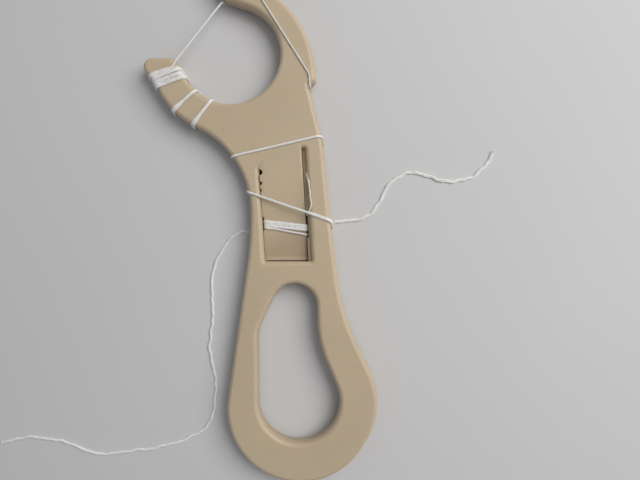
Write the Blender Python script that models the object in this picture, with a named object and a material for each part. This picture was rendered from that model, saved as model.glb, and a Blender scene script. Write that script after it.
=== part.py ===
"""Floss holder: a flat moulded handle with a two-armed fork, wound with dental floss.

Everything is in metres. +Z is up, +Y runs from the handle to the fork. The holder lies face up on
the strands that pass behind it, and the table is at z = 0.
"""

import collections
import math

import bmesh
import bpy
import numpy as np
from mathutils import Matrix, Vector

# Floss
FLOSS_DIAMETER = 0.0005
FLOSS_CLEARANCE = 0.0002

# Moulded plate
PLATE_THICKNESS = 0.0045
EDGE_RADIUS = 0.0011
EDGE_RINGS = 2
OUTLINE_SAG = 0.00002
MERGE_DISTANCE = 0.000001

# Handle end and its finger hole
HANDLE_X = 0.0094
HANDLE_Y = -0.04325
HANDLE_RADIUS = 0.0174
HANDLE_SPREAD = 0.0013
HANDLE_TAPER = 0.0004
HOLE_BOTTOM_RADIUS = 0.0097
HOLE_BOTTOM_RISE = 0.0016
HOLE_BOTTOM_SHIFT = 0.0003
HOLE_HOLLOW_DROP = 0.0024
HOLE_LENGTH = 0.0227
HOLE_TOP_X = 0.0080
HOLE_TOP_RADIUS = 0.0054
HOLE_SHOULDER_DROP = 0.0073
HOLE_SHOULDER_X = 0.0058
HOLE_SHOULDER_RADIUS = 0.0065
HOLE_HOLLOW_RADIUS = 0.0270

# Neck: where its two sides stand and how they curve
NECK_LEFT_X = -0.0024
NECK_LEFT_RADIUS = 0.0226
FLANK_LEFT_RADIUS = 0.0927
NECK_BEND = (-0.0098, 0.01475)
NECK_BEND_RADIUS = 0.0250
NECK_RIGHT_WALL = (0.0162, 0.00695)
NECK_HOLLOW_RADIUS = 0.0400
FLANK_RIGHT_WALL = (0.0178, -0.0054)
FLANK_HOLLOW_RADIUS = 0.0528

# Fork: a round gap between two arms that end in bulb-shaped heads
FORK_X = -0.0073
FORK_Y = 0.04095
FORK_TURN = math.radians(141)
FORK_GAP_RADIUS = 0.01195
ARM_WIDTH = 0.0072
HEAD_RADIUS = 0.0021
HEAD_CORNER_RADIUS = 0.00125
HEAD_SHOULDER_RADIUS = 0.0009
RIGHT_SHOULDER = (0.0109, 0.0157)
RIGHT_HEAD = (0.0127, 0.0129)
LEFT_SHOULDER = (0.0106, -0.0172)
LEFT_HEAD = (0.01235, -0.0140)
HEAD_CORNER = (0.00955, 0.01065)
RIGHT_ARM_CENTRE = (-0.0102, 0.0359)
RIGHT_ARM_RADIUS = 0.02305

# Anchor slit between the right arm's hook and the neck
HOOK_CENTRE = (0.01185, 0.0351)
HOOK_RADIUS = 0.00125
HOOK_WIDTH = 0.0015
HOOK_NOTCH_RADIUS = 0.00035
HOOK_NOTCH_DROP = 0.00185
ANCHOR_SLIT_WIDTH = 0.0004
ANCHOR_SLIT_LENGTH = 0.0026
ANCHOR_SLIT_LEAN = math.radians(4.5)

# Clamp tongue: it springs from a slanted root and slopes down to its free end
TONGUE_WIDTH = 0.0094
TONGUE_THICKNESS = 0.0014
TONGUE_EDGE_RADIUS = 0.0003
TONGUE_CORNER_RADIUS = 0.0005
TONGUE_ROOT = Vector((0.0051, 0.0158))
TONGUE_END_Y = -0.00785
TONGUE_LEAN = math.radians(3.4)
ROOT_SLANT = math.radians(27.4)
TONGUE_SLOPE = math.radians(7.4)
SLIT_WIDTH = 0.0009
END_GAP = 0.0005
ROOT_GAP = 0.0003
ROOT_PAD_LENGTH = 0.0028
ROOT_WALL_SETBACK = 0.0001
FLUSH_STEP = 0.00002

# Windings
WINDING_STRANDS = 4
TONGUE_STRANDS = 3
TONGUE_STRAND_PITCH = 0.0011
TONGUE_STRAND_START = 0.0131
TONGUE_STRAND_ADVANCE = 0.0025
LEAVE_INSET = 0.0010
LEAVE_LENGTH = 0.0012
CORNER_POINTS = 4
RUN_POINTS = 4
LONG_RUN = 0.003
SPAN_STEPS = 12
U_TURN_STEPS = 5
KNOT_STEPS = 20

# Where the floss turns round the plate: angles about the fork's centre, and heights on the neck
LOOSE_LOOPS = ((242.9, 250.0), (225.8, 228.1))
WINDING_OUTER = (194.2, 204.6)
WINDING_INNER = (194.2, 210.2)
TRAPPED_END = (0.0165, 258.0)
WINDING_EXIT = (-0.0206, 0.0374)
SPAN_LEFT_END = (-0.0200, 0.0388)
SPAN_STUB = 0.0012
UPPER_STUB = 0.0010
ARM_STUB = 0.0025
ANCHOR_TOP = (0.01149, 0.03584)
ANCHOR_MOUTH = (0.0116, 0.0340)
MOUTH_Y = 0.0327
BEHIND_STUB = 0.0040
TUCK = (-0.0030, 0.0002)
UPPER_TURN = (97.0, 74.0)
UPPER_BAND_LEFT_Y = 0.01648
UPPER_BAND_RIGHT_Y = 0.02135
UPPER_BAND_RETURN_Y = 0.01933
LOWER_BAND_RETURN_Y = 0.00886
LOWER_BAND_LEFT_Y = 0.00815
LOWER_BAND_RIGHT_Y = 0.00125
LOWER_BAND_TUCK_Y = -0.00089
NECK_MIDDLE_X = 0.0060

# Tails on the table, read off the curls that the floss keeps from its spool
JOIN_GAP = 0.0003
TAIL_POINT_SPACING = 0.0014
U_TURN_RADIUS = 0.0006
RIGHT_TAIL = (
    (0.0175, 0.0010),
    (0.0200, 0.0012),
    (0.0241, 0.0021),
    (0.0271, 0.0038),
    (0.0290, 0.0068),
    (0.0312, 0.0106),
    (0.0351, 0.0130),
    (0.0408, 0.0124),
    (0.0449, 0.0112),
    (0.0496, 0.0116),
    (0.0518, 0.0124),
    (0.0548, 0.0153),
    (0.0571, 0.0189),
)
LEFT_TAIL = (
    (-0.0032, -0.0012),
    (-0.0049, -0.0013),
    (-0.0083, -0.0037),
    (-0.0112, -0.0077),
    (-0.0124, -0.0139),
    (-0.0123, -0.0207),
    (-0.0128, -0.0268),
    (-0.0127, -0.0311),
    (-0.0120, -0.0359),
    (-0.0114, -0.0396),
    (-0.0116, -0.0420),
    (-0.0120, -0.0448),
    (-0.0141, -0.0493),
    (-0.0177, -0.0518),
    (-0.0238, -0.0538),
    (-0.0320, -0.0550),
    (-0.0393, -0.0558),
    (-0.0434, -0.0550),
    (-0.0495, -0.0526),
    (-0.0564, -0.0518),
    (-0.0605, -0.0522),
    (-0.0646, -0.0532),
)

# Heights that follow from the sizes above
FLOSS_RADIUS = FLOSS_DIAMETER / 2
FLOSS_FLAT = FLOSS_DIAMETER / 10
REACH = FLOSS_CLEARANCE + FLOSS_RADIUS
BACK_STRAND_Z = FLOSS_RADIUS - FLOSS_FLAT
PLATE_BACK_Z = BACK_STRAND_Z + REACH
PLATE_FRONT_Z = PLATE_BACK_Z + PLATE_THICKNESS
PLATE_MIDDLE_Z = (PLATE_BACK_Z + PLATE_FRONT_Z) / 2
FRONT_STRAND_Z = PLATE_FRONT_Z + REACH
HINGE_Z = PLATE_FRONT_Z - TONGUE_THICKNESS / 2

IVORY = (0.49, 0.41, 0.28, 1.0)
FLOSS_WHITE = (0.82, 0.80, 0.76, 1.0)

Disc = collections.namedtuple("Disc", "x y radius side")
BULGE, HOLLOW = 1, -1


def clear_scene():
    for old in list(bpy.data.objects):
        bpy.data.objects.remove(old, do_unlink=True)


def new_collection(name, hidden=False):
    collection = bpy.data.collections.new(name)
    collection.hide_render = hidden
    bpy.context.scene.collection.children.link(collection)
    return collection


def make_material(name, colour, roughness):
    material = bpy.data.materials.new(name)
    material.use_nodes = True
    shader = material.node_tree.nodes["Principled BSDF"]
    shader.inputs["Base Color"].default_value = colour
    shader.inputs["Roughness"].default_value = roughness
    shader.inputs["Metallic"].default_value = 0.0
    material.diffuse_color = colour
    return material


# Outlines: discs joined by the straight lines that touch them


def tangent_heading(first, second):
    """Heading of the line that leaves the first disc and meets the second one."""
    across, up = second.x - first.x, second.y - first.y
    lean = (first.side * first.radius - second.side * second.radius) / math.hypot(across, up)
    return math.atan2(up, across) + math.asin(max(-1.0, min(1.0, lean)))


def outline_points(discs):
    """Points anticlockwise round the discs: outside a bulge, and inside a hollow."""
    headings = [
        tangent_heading(disc, discs[(index + 1) % len(discs)]) for index, disc in enumerate(discs)
    ]
    points = []
    for index, disc in enumerate(discs):
        start = headings[index - 1]
        turn = (headings[index] - start + math.pi) % math.tau - math.pi
        if disc.side * turn < -0.5:
            turn += disc.side * math.tau
        step = 2 * math.acos(1 - min(0.5, OUTLINE_SAG / disc.radius))
        steps = max(1, math.ceil(abs(turn) / step))
        for number in range(steps + 1):
            angle = start + turn * number / steps
            out = Vector((math.sin(angle), -math.cos(angle))) * disc.side * disc.radius
            points.append(Vector((disc.x, disc.y)) + out)
    return points


def fork_disc(toward_mouth, sideways, radius, side):
    """A disc placed from the fork's centre: toward the mouth, and to the right arm's side."""
    along = Vector((math.cos(FORK_TURN), math.sin(FORK_TURN))) * toward_mouth
    across = Vector((math.sin(FORK_TURN), -math.cos(FORK_TURN))) * sideways
    centre = Vector((FORK_X, FORK_Y)) + along + across
    return Disc(centre.x, centre.y, radius, side)


def hollow_beside(wall, radius):
    """A hollow that curves away to the right from a point on the plate's edge."""
    return Disc(wall[0] + radius, wall[1], radius, HOLLOW)


def plate_discs():
    arm_radius = FORK_GAP_RADIUS + ARM_WIDTH
    hollow_x = NECK_LEFT_X - NECK_LEFT_RADIUS
    hollow_drop = math.sqrt((arm_radius + NECK_LEFT_RADIUS) ** 2 - (hollow_x - FORK_X) ** 2)
    hollow_y = FORK_Y - hollow_drop
    notch_y = HOOK_CENTRE[1] - HOOK_NOTCH_DROP
    handle = [
        Disc(HANDLE_X, HANDLE_Y, HANDLE_RADIUS, BULGE),
        Disc(HANDLE_X + HANDLE_SPREAD, HANDLE_Y + HANDLE_SPREAD, HANDLE_RADIUS - HANDLE_TAPER, BULGE),
    ]
    right_side = [
        hollow_beside(FLANK_RIGHT_WALL, FLANK_HOLLOW_RADIUS),
        hollow_beside(NECK_RIGHT_WALL, NECK_HOLLOW_RADIUS),
        Disc(*NECK_BEND, NECK_BEND_RADIUS, BULGE),
        Disc(HOOK_CENTRE[0], notch_y, HOOK_NOTCH_RADIUS, HOLLOW),
        Disc(*HOOK_CENTRE, HOOK_RADIUS, BULGE),
        Disc(*RIGHT_ARM_CENTRE, RIGHT_ARM_RADIUS, BULGE),
    ]
    heads = [
        fork_disc(*RIGHT_SHOULDER, HEAD_SHOULDER_RADIUS, HOLLOW),
        fork_disc(*RIGHT_HEAD, HEAD_RADIUS, BULGE),
        fork_disc(*HEAD_CORNER, HEAD_CORNER_RADIUS, BULGE),
        Disc(FORK_X, FORK_Y, FORK_GAP_RADIUS, HOLLOW),
        fork_disc(HEAD_CORNER[0], -HEAD_CORNER[1], HEAD_CORNER_RADIUS, BULGE),
        fork_disc(*LEFT_HEAD, HEAD_RADIUS, BULGE),
        fork_disc(*LEFT_SHOULDER, HEAD_SHOULDER_RADIUS, HOLLOW),
    ]
    left_side = [
        Disc(FORK_X, FORK_Y, arm_radius, BULGE),
        Disc(hollow_x, hollow_y, NECK_LEFT_RADIUS, HOLLOW),
        Disc(NECK_LEFT_X - FLANK_LEFT_RADIUS, hollow_y, FLANK_LEFT_RADIUS, HOLLOW),
    ]
    return handle + right_side + heads + left_side


def finger_hole_discs():
    bottom_x, bottom_y = HANDLE_X - HOLE_BOTTOM_SHIFT, HANDLE_Y + HOLE_BOTTOM_RISE
    bottom = Disc(bottom_x, bottom_y, HOLE_BOTTOM_RADIUS, BULGE)
    top = Disc(HOLE_TOP_X, bottom.y + HOLE_LENGTH, HOLE_TOP_RADIUS, BULGE)
    shoulder = Disc(HOLE_SHOULDER_X, top.y - HOLE_SHOULDER_DROP, HOLE_SHOULDER_RADIUS, BULGE)
    thumb = hollow_beside((top.x + top.radius, top.y - HOLE_HOLLOW_DROP), HOLE_HOLLOW_RADIUS)
    return [bottom, thumb, top, shoulder]


# Tongue and window: both lie along one leaning line that starts at the slanted root

TONGUE_ACROSS = Vector((math.cos(TONGUE_LEAN), math.sin(TONGUE_LEAN)))
TONGUE_DOWN = Vector((math.sin(TONGUE_LEAN), -math.cos(TONGUE_LEAN)))
ROOT_LINE = Vector((math.cos(ROOT_SLANT), math.sin(ROOT_SLANT)))
ROOT_NORMAL = Vector((-math.sin(ROOT_SLANT), math.cos(ROOT_SLANT)))


def root_point(sideways, shift):
    """Where a line down the tongue crosses the root line, moved by shift toward the fork."""
    down = (shift - sideways * TONGUE_ACROSS.dot(ROOT_NORMAL)) / TONGUE_DOWN.dot(ROOT_NORMAL)
    return TONGUE_ROOT + TONGUE_ACROSS * sideways + TONGUE_DOWN * down


def end_point(sideways, shift):
    """Where a line down the tongue crosses its free end, moved by shift toward the handle."""
    down = (TONGUE_END_Y - shift - TONGUE_ROOT.y - sideways * TONGUE_ACROSS.y) / TONGUE_DOWN.y
    return TONGUE_ROOT + TONGUE_ACROSS * sideways + TONGUE_DOWN * down


def panel_discs(half_width, root_shift, end_shift, corner):
    inner = half_width - corner
    centres = [
        end_point(-inner, end_shift - corner),
        end_point(inner, end_shift - corner),
        root_point(inner, root_shift - corner),
        root_point(-inner, root_shift - corner),
    ]
    return [Disc(centre.x, centre.y, corner, BULGE) for centre in centres]


def window_discs():
    wall_shift = ROOT_GAP / 2 + ROOT_WALL_SETBACK
    return panel_discs(TONGUE_WIDTH / 2 + SLIT_WIDTH, wall_shift, END_GAP, SLIT_WIDTH / 2)


# Blender objects


def flat_curve(name, loops, thickness, edge_radius, collection):
    """A flat plate with rounded edges, its outline being the first loop and the rest its holes."""
    curve = bpy.data.curves.new(name, "CURVE")
    curve.dimensions = "2D"
    curve.fill_mode = "BOTH"
    curve.extrude = thickness / 2 - edge_radius
    curve.bevel_depth = edge_radius
    curve.bevel_resolution = EDGE_RINGS
    curve.offset = -edge_radius
    for loop in loops:
        spline = curve.splines.new("POLY")
        spline.points.add(len(loop) - 1)
        for point, place in zip(spline.points, loop):
            point.co = (place.x, place.y, 0.0, 1.0)
        spline.use_cyclic_u = True
    flat = bpy.data.objects.new(name, curve)
    collection.objects.link(flat)
    return flat


def tube(name, points, sides, collection):
    curve = bpy.data.curves.new(name, "CURVE")
    curve.dimensions = "3D"
    curve.bevel_depth = FLOSS_RADIUS
    curve.bevel_resolution = sides
    curve.use_fill_caps = True
    spline = curve.splines.new("POLY")
    spline.points.add(len(points) - 1)
    for point, place in zip(spline.points, points):
        point.co = (*place, 1.0)
    strand = bpy.data.objects.new(name, curve)
    collection.objects.link(strand)
    return strand


def as_mesh(source, collection):
    """Replaces a curve object by a mesh object, with its loose caps joined to its sides."""
    name = source.name
    bpy.context.view_layer.update()
    graph = bpy.context.evaluated_depsgraph_get()
    mesh = bpy.data.meshes.new_from_object(source.evaluated_get(graph))
    shape = bmesh.new()
    shape.from_mesh(mesh)
    bmesh.ops.remove_doubles(shape, verts=shape.verts, dist=MERGE_DISTANCE)
    bmesh.ops.recalc_face_normals(shape, faces=shape.faces)
    shape.to_mesh(mesh)
    shape.free()
    place = source.matrix_world.copy()
    bpy.data.objects.remove(source, do_unlink=True)
    made = bpy.data.objects.new(name, mesh)
    mesh.name = name
    made.matrix_world = place
    collection.objects.link(made)
    return made


def box(name, size, place, collection):
    mesh = bpy.data.meshes.new(name)
    shape = bmesh.new()
    bmesh.ops.create_cube(shape, size=1.0, matrix=Matrix.Diagonal((*size, 1.0)))
    shape.to_mesh(mesh)
    shape.free()
    made = bpy.data.objects.new(name, mesh)
    made.matrix_world = place
    collection.objects.link(made)
    return made


def as_helper(helper):
    helper.hide_render = True
    helper.display_type = "WIRE"
    return helper


def boolean(target, other, operation):
    modifier = target.modifiers.new(other.name, "BOOLEAN")
    modifier.operation = operation
    modifier.solver = "EXACT"
    modifier.object = other


def finish(piece, material):
    piece.data.materials.clear()
    piece.data.materials.append(material)
    if piece.type == "MESH":
        piece.data.shade_smooth()
        piece.data.set_sharp_from_angle(angle=math.radians(40))


# Floss routes

PLATE_OUTLINE = outline_points(plate_discs())


def plate_edge(origin, heading, crossing=0):
    """The outline's point and outward normal where a ray crosses it for the given time."""
    hits = []
    for index, first in enumerate(PLATE_OUTLINE):
        along = PLATE_OUTLINE[(index + 1) % len(PLATE_OUTLINE)] - first
        slope = heading.x * along.y - heading.y * along.x
        if abs(slope) < 1e-15:
            continue
        offset = first - origin
        distance = (offset.x * along.y - offset.y * along.x) / slope
        share = (offset.x * heading.y - offset.y * heading.x) / slope
        if distance > 0 and 0 <= share < 1:
            normal = Vector((along.y, -along.x)).normalized()
            hits.append((distance, first + along * share, normal))
    hits.sort(key=lambda hit: hit[0])
    return hits[crossing][1:]


def edge_corner(edge, height):
    point, normal = edge
    return (point + normal * REACH).to_3d() + Vector((0, 0, height))


def round_edge(first_edge, second_edge, downward):
    """Two corners that take a strand round the plate's edge, from face to back or the other way."""
    heights = (FRONT_STRAND_Z, BACK_STRAND_Z) if downward else (BACK_STRAND_Z, FRONT_STRAND_Z)
    return [edge_corner(first_edge, heights[0]), edge_corner(second_edge, heights[1])]


def arm_edge(degrees, outer):
    angle = math.radians(degrees)
    heading = Vector((math.cos(angle), math.sin(angle)))
    return plate_edge(Vector((FORK_X, FORK_Y)), heading, 1 if outer else 0)


def neck_edge(height, right):
    heading = Vector((1.0, 0.0)) if right else Vector((-1.0, 0.0))
    return plate_edge(Vector((NECK_MIDDLE_X, height)), heading)


def rounded_route(corners, radius):
    """Points along straight runs joined by arcs of the given radius."""
    route = [corners[0]]
    for before, corner, after in zip(corners, corners[1:], corners[2:]):
        back, ahead = before - corner, after - corner
        half = back.angle(ahead) / 2
        reach = min(radius / math.tan(half), 0.48 * min(back.length, ahead.length))
        start = corner + back.normalized() * reach
        end = corner + ahead.normalized() * reach
        centre = corner + (start + end - corner * 2).normalized() * (reach / math.cos(half))
        if (start - route[-1]).length > LONG_RUN:
            route += [
                route[-1].lerp(start, (number + 1) / (RUN_POINTS + 1)) for number in range(RUN_POINTS)
            ]
        from_centre, to_centre = start - centre, end - centre
        for number in range(CORNER_POINTS):
            share = number / (CORNER_POINTS - 1)
            route.append(centre + from_centre.slerp(to_centre, share) * from_centre.length)
    if (corners[-1] - route[-1]).length > LONG_RUN:
        last = route[-1]
        route += [last.lerp(corners[-1], (number + 1) / (RUN_POINTS + 1)) for number in range(RUN_POINTS)]
    route.append(corners[-1])
    return route


def smooth_route(knots, spacing):
    """Evenly spaced points on a smooth curve through the hand-chosen knots."""
    knots = [knots[0] * 2 - knots[1]] + knots + [knots[-1] * 2 - knots[-2]]
    fine = []
    for first, second, third, fourth in zip(knots, knots[1:], knots[2:], knots[3:]):
        for number in range(KNOT_STEPS):
            t = number / KNOT_STEPS
            fine.append(
                (
                    second * 2
                    + (third - first) * t
                    + (first * 2 - second * 5 + third * 4 - fourth) * t**2
                    + (second * 3 - first - third * 3 + fourth) * t**3
                )
                / 2
            )
    fine.append(knots[-2])
    lengths = np.cumsum([0.0] + [(b - a).length for a, b in zip(fine, fine[1:])])
    count = round(lengths[-1] / spacing)
    wanted = np.linspace(0.0, lengths[-1], count + 1)
    columns = [np.interp(wanted, lengths, [point[axis] for point in fine]) for axis in range(3)]
    return [Vector(point) for point in zip(*columns)]


def least_gap(points):
    """Least clear distance between stretches of one strand that aren't neighbours along it."""
    fine = []
    for first, second in zip(points, points[1:]):
        steps = max(1, math.ceil((second - first).length / 0.0002))
        fine += [first.lerp(second, number / steps) for number in range(steps)]
    places = np.array(fine)
    along = np.concatenate([[0.0], np.cumsum(np.linalg.norm(np.diff(places, axis=0), axis=1))])
    least = math.inf
    for index, place in enumerate(places):
        far = along - along[index] > 8 * FLOSS_DIAMETER
        if far.any():
            least = min(least, np.linalg.norm(places[far] - place, axis=1).min())
    return least - FLOSS_DIAMETER


def mix(ends, share):
    return ends[0] + (ends[1] - ends[0]) * share


def left_arm_corners():
    """The trapped end, two loose loops and the tight winding, from the neck toward the head."""
    angle = math.radians(TRAPPED_END[1])
    start = Vector((math.cos(angle), math.sin(angle))) * TRAPPED_END[0] + Vector((FORK_X, FORK_Y))
    corners = [start.to_3d() + Vector((0, 0, BACK_STRAND_Z))]
    turns = list(LOOSE_LOOPS)
    for number in reversed(range(WINDING_STRANDS)):
        share = number / (WINDING_STRANDS - 1)
        turns.append((mix(WINDING_OUTER, share), mix(WINDING_INNER, share)))
    for outer, inner in turns[:-1]:
        corners += round_edge(arm_edge(outer, True), arm_edge(outer, True), False)
        corners += round_edge(arm_edge(inner, False), arm_edge(inner, False), True)
    last = arm_edge(turns[-1][0], True)
    return corners + round_edge(last, last, False)


def span_ends():
    """Where the taut span leaves the left arm's face and meets the right arm's inner wall."""
    left_end = Vector((*SPAN_LEFT_END, FRONT_STRAND_Z))
    right_end = edge_corner(arm_edge(UPPER_TURN[0], False), PLATE_MIDDLE_Z)
    return left_end, right_end


def right_arm_corners():
    """The turn behind the right arm's head, ending at its outer edge on the face."""
    outer = arm_edge(UPPER_TURN[1], True)
    return [edge_corner(arm_edge(UPPER_TURN[0], False), BACK_STRAND_Z)] + round_edge(outer, outer, False)


def strand_end(corner, toward, distance):
    return corner + (toward - corner).normalized() * distance


def build_plate(parts, cutters, plastic):
    loops = [PLATE_OUTLINE, outline_points(finger_hole_discs()), outline_points(window_discs())]
    plate = flat_curve("holder_body", loops, PLATE_THICKNESS, EDGE_RADIUS, parts)
    plate.location.z = PLATE_MIDDLE_Z
    plate = as_mesh(plate, parts)

    half = TONGUE_WIDTH / 2
    near, far = ROOT_GAP / 2, ROOT_GAP / 2 + ROOT_PAD_LENGTH
    pad_loop = [
        root_point(-half, near),
        root_point(half, near),
        root_point(half, far),
        root_point(-half, far),
    ]
    pad = flat_curve("root_pad", [pad_loop], TONGUE_THICKNESS, 0.0, cutters)
    pad.location.z = HINGE_Z - FLUSH_STEP
    pad = as_helper(as_mesh(pad, cutters))
    boolean(plate, pad, "UNION")

    slit_x = HOOK_CENTRE[0] + HOOK_RADIUS - HOOK_WIDTH - ANCHOR_SLIT_WIDTH / 2
    slit_y = HOOK_CENTRE[1] - HOOK_RADIUS + ANCHOR_SLIT_LENGTH / 2
    place = Matrix.Translation((slit_x, slit_y, PLATE_MIDDLE_Z))
    place = place @ Matrix.Rotation(ANCHOR_SLIT_LEAN, 4, "Z")
    size = (ANCHOR_SLIT_WIDTH, ANCHOR_SLIT_LENGTH, PLATE_THICKNESS * 2)
    slit = as_helper(box("anchor_slit", size, place, cutters))
    boolean(plate, slit, "DIFFERENCE")
    finish(plate, plastic)
    return plate


def to_tongue(flat, height):
    """A plan position in the sloping tongue's own axes, at a height above its middle."""
    from_root = flat - TONGUE_ROOT
    up_slope = from_root.dot(ROOT_NORMAL) / math.cos(TONGUE_SLOPE)
    return Vector((from_root.dot(ROOT_LINE), up_slope, height))


def build_tongue(parts, hinge, plastic):
    half = TONGUE_WIDTH / 2
    loop = []
    for point in outline_points(panel_discs(half, -ROOT_GAP / 2, 0.0, TONGUE_CORNER_RADIUS)):
        loop.append(to_tongue(point, 0.0).xy)
    tongue = flat_curve("clamp_tongue", [loop], TONGUE_THICKNESS, TONGUE_EDGE_RADIUS, parts)
    tongue.parent = hinge
    tongue.rotation_euler.x = TONGUE_SLOPE
    finish(tongue, plastic)
    return tongue


def tongue_corner(sideways, down, height):
    flat = TONGUE_ROOT + TONGUE_ACROSS * sideways + TONGUE_DOWN * down
    return to_tongue(flat, height)


def tongue_turn_corners():
    """Three strands over the tongue's face, from a trapped end behind it to the left slit."""
    side = TONGUE_WIDTH / 2 + REACH
    level = TONGUE_THICKNESS / 2 + REACH
    left, right = TONGUE_STRAND_START, TONGUE_STRAND_START + TONGUE_STRAND_ADVANCE
    corners = [tongue_corner(0.0, left, -level)]
    for number in range(TONGUE_STRANDS):
        shift = number * TONGUE_STRAND_PITCH
        corners.append(tongue_corner(-side, left + shift, -level))
        corners.append(tongue_corner(-side, left + shift, level))
        corners.append(tongue_corner(side, right + shift, level))
        corners.append(tongue_corner(side, right + shift, -level))
    last = left + TONGUE_STRANDS * TONGUE_STRAND_PITCH
    corners.append(tongue_corner(LEAVE_INSET - TONGUE_WIDTH / 2, last, -level))
    return corners


def under_left_rail(leave):
    """A straight strand from the tongue's back, then round the left rail's lower edge."""
    radius = EDGE_RADIUS + REACH - FLOSS_FLAT
    along = LEAVE_INSET + SLIT_WIDTH + EDGE_RADIUS
    drop = PLATE_BACK_Z + EDGE_RADIUS - leave.z
    distance = math.hypot(along, drop)
    slope = math.atan2(drop, along) - math.asin(radius / distance)
    heading = Vector((*(TONGUE_ACROSS * -math.cos(slope)), math.sin(slope)))
    touch = leave + heading * math.sqrt(distance**2 - radius**2)
    middle = leave + Vector((*(TONGUE_ACROSS * -along), drop))
    start, end = touch - middle, Vector((0, 0, -1))
    arc = [middle + start.slerp(end, number / 3) * radius for number in range(4)]
    return heading, arc


def build_floss(parts, cutters, hinge, floss):
    floor_size = (PLATE_THICKNESS * 60, PLATE_THICKNESS * 60, PLATE_THICKNESS * 4)
    place = Matrix.Translation((0, 0, -floor_size[2] / 2))
    floor = as_helper(box("table_cutter", floor_size, place, cutters))
    corner_radius = EDGE_RADIUS + REACH
    strands = {}

    left_corners = left_arm_corners()
    span_left, span_right = span_ends()
    span_start = strand_end(span_left, span_right, SPAN_STUB)
    left_corners += [Vector((*WINDING_EXIT, FRONT_STRAND_Z)), span_left, span_start]
    strands["floss_left_arm_turns"] = rounded_route(left_corners, corner_radius)

    right_corners = right_arm_corners()
    span_stop = strand_end(span_right, span_left, UPPER_STUB)
    slit_top = Vector((*ANCHOR_TOP, FRONT_STRAND_Z))
    slit_mouth = Vector((*ANCHOR_MOUTH, FRONT_STRAND_Z))
    arm_leave = strand_end(right_corners[-1], slit_top, ARM_STUB)
    route = [span_stop, span_right] + right_corners + [arm_leave]
    strands["floss_right_arm_turn"] = rounded_route(route, corner_radius)

    first = strand_end(span_start, span_stop, JOIN_GAP)
    last = strand_end(span_stop, span_start, JOIN_GAP)
    strands["floss_span"] = [first.lerp(last, number / SPAN_STEPS) for number in range(SPAN_STEPS + 1)]

    mouth = neck_edge(MOUTH_Y, True)
    neck = round_edge(mouth, mouth, True)
    upper_left = neck_edge(UPPER_BAND_LEFT_Y, False)
    arm_start = strand_end(arm_leave, slit_top, JOIN_GAP)
    behind_end = strand_end(neck[1], edge_corner(upper_left, BACK_STRAND_Z), BEHIND_STUB)
    route = [arm_start, slit_top, slit_mouth] + neck + [behind_end]
    strands["floss_arm_strand"] = rounded_route(route, corner_radius)

    route = [strand_end(behind_end, edge_corner(upper_left, BACK_STRAND_Z), JOIN_GAP)]
    route += round_edge(upper_left, upper_left, False)
    turn = neck_edge(UPPER_BAND_RIGHT_Y, True), neck_edge(UPPER_BAND_RETURN_Y, True)
    route += round_edge(*turn, True)
    turn = neck_edge(LOWER_BAND_RETURN_Y, False), neck_edge(LOWER_BAND_LEFT_Y, False)
    route += round_edge(*turn, False)
    turn = neck_edge(LOWER_BAND_RIGHT_Y, True), neck_edge(LOWER_BAND_TUCK_Y, True)
    route += round_edge(*turn, True)
    tuck = route[-1] + Vector((*TUCK, 0.0))
    route.append(tuck)
    strands["floss_neck_bands"] = rounded_route(route, corner_radius)

    for name, points in strands.items():
        wound = name != "floss_span"
        strand = tube(name, points, 1 if wound else 2, parts)
        if wound:
            strand = as_mesh(strand, parts)
            boolean(strand, floor, "DIFFERENCE")
            print(f"{name}: {len(points)} points, least gap to itself {least_gap(points) * 1000:.2f} mm")
        finish(strand, floss)

    start = Vector((tuck.x - JOIN_GAP, tuck.y, FLOSS_RADIUS))
    bend = start + Vector((-FLOSS_DIAMETER, U_TURN_RADIUS, 0))
    loop = [start]
    for number in range(U_TURN_STEPS + 1):
        angle = -math.pi / 2 - math.pi * number / U_TURN_STEPS
        loop.append(bend + Vector((math.cos(angle), math.sin(angle), 0)) * U_TURN_RADIUS)
    knots = [loop[-1]] + [Vector((*place, FLOSS_RADIUS)) for place in RIGHT_TAIL]
    route = loop[:-1] + smooth_route(knots, TAIL_POINT_SPACING)
    finish(tube("floss_right_tail", route, 2, parts), floss)

    place = hinge.matrix_world @ Matrix.Rotation(TONGUE_SLOPE, 4, "X")
    corners = tongue_turn_corners()
    leave = place @ corners[-1]
    heading, arc = under_left_rail(leave)
    corners.append(place.inverted() @ (leave + heading * LEAVE_LENGTH))
    points = rounded_route(corners, TONGUE_EDGE_RADIUS + REACH)
    knots = [arc[-1]] + [Vector((*spot, FLOSS_RADIUS)) for spot in LEFT_TAIL]
    route = [leave + heading * (LEAVE_LENGTH + JOIN_GAP)] + arc[:-1]
    route += smooth_route(knots, TAIL_POINT_SPACING)
    finish(tube("floss_left_tail", route, 2, parts), floss)
    turns = tube("floss_tongue_turns", points, 1, parts)
    turns.parent = hinge
    turns.rotation_euler.x = TONGUE_SLOPE
    print(f"floss_tongue_turns: {len(points)} points, least gap to itself {least_gap(points) * 1000:.2f} mm")
    finish(turns, floss)


def main():
    clear_scene()
    parts = new_collection("floss_holder")
    cutters = new_collection("cutters", hidden=True)
    plastic = make_material("ivory_plastic", IVORY, 0.42)
    floss = make_material("floss_strand", FLOSS_WHITE, 0.6)
    hinge = bpy.data.objects.new("tongue_hinge", None)
    hinge.location = (*TONGUE_ROOT, HINGE_Z)
    hinge.rotation_euler.z = ROOT_SLANT
    parts.objects.link(hinge)
    bpy.context.view_layer.update()
    build_plate(parts, cutters, plastic)
    build_tongue(parts, hinge, plastic)
    build_floss(parts, cutters, hinge, floss)


main()
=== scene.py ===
"""Looks of a wound floss holder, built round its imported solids."""

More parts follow.
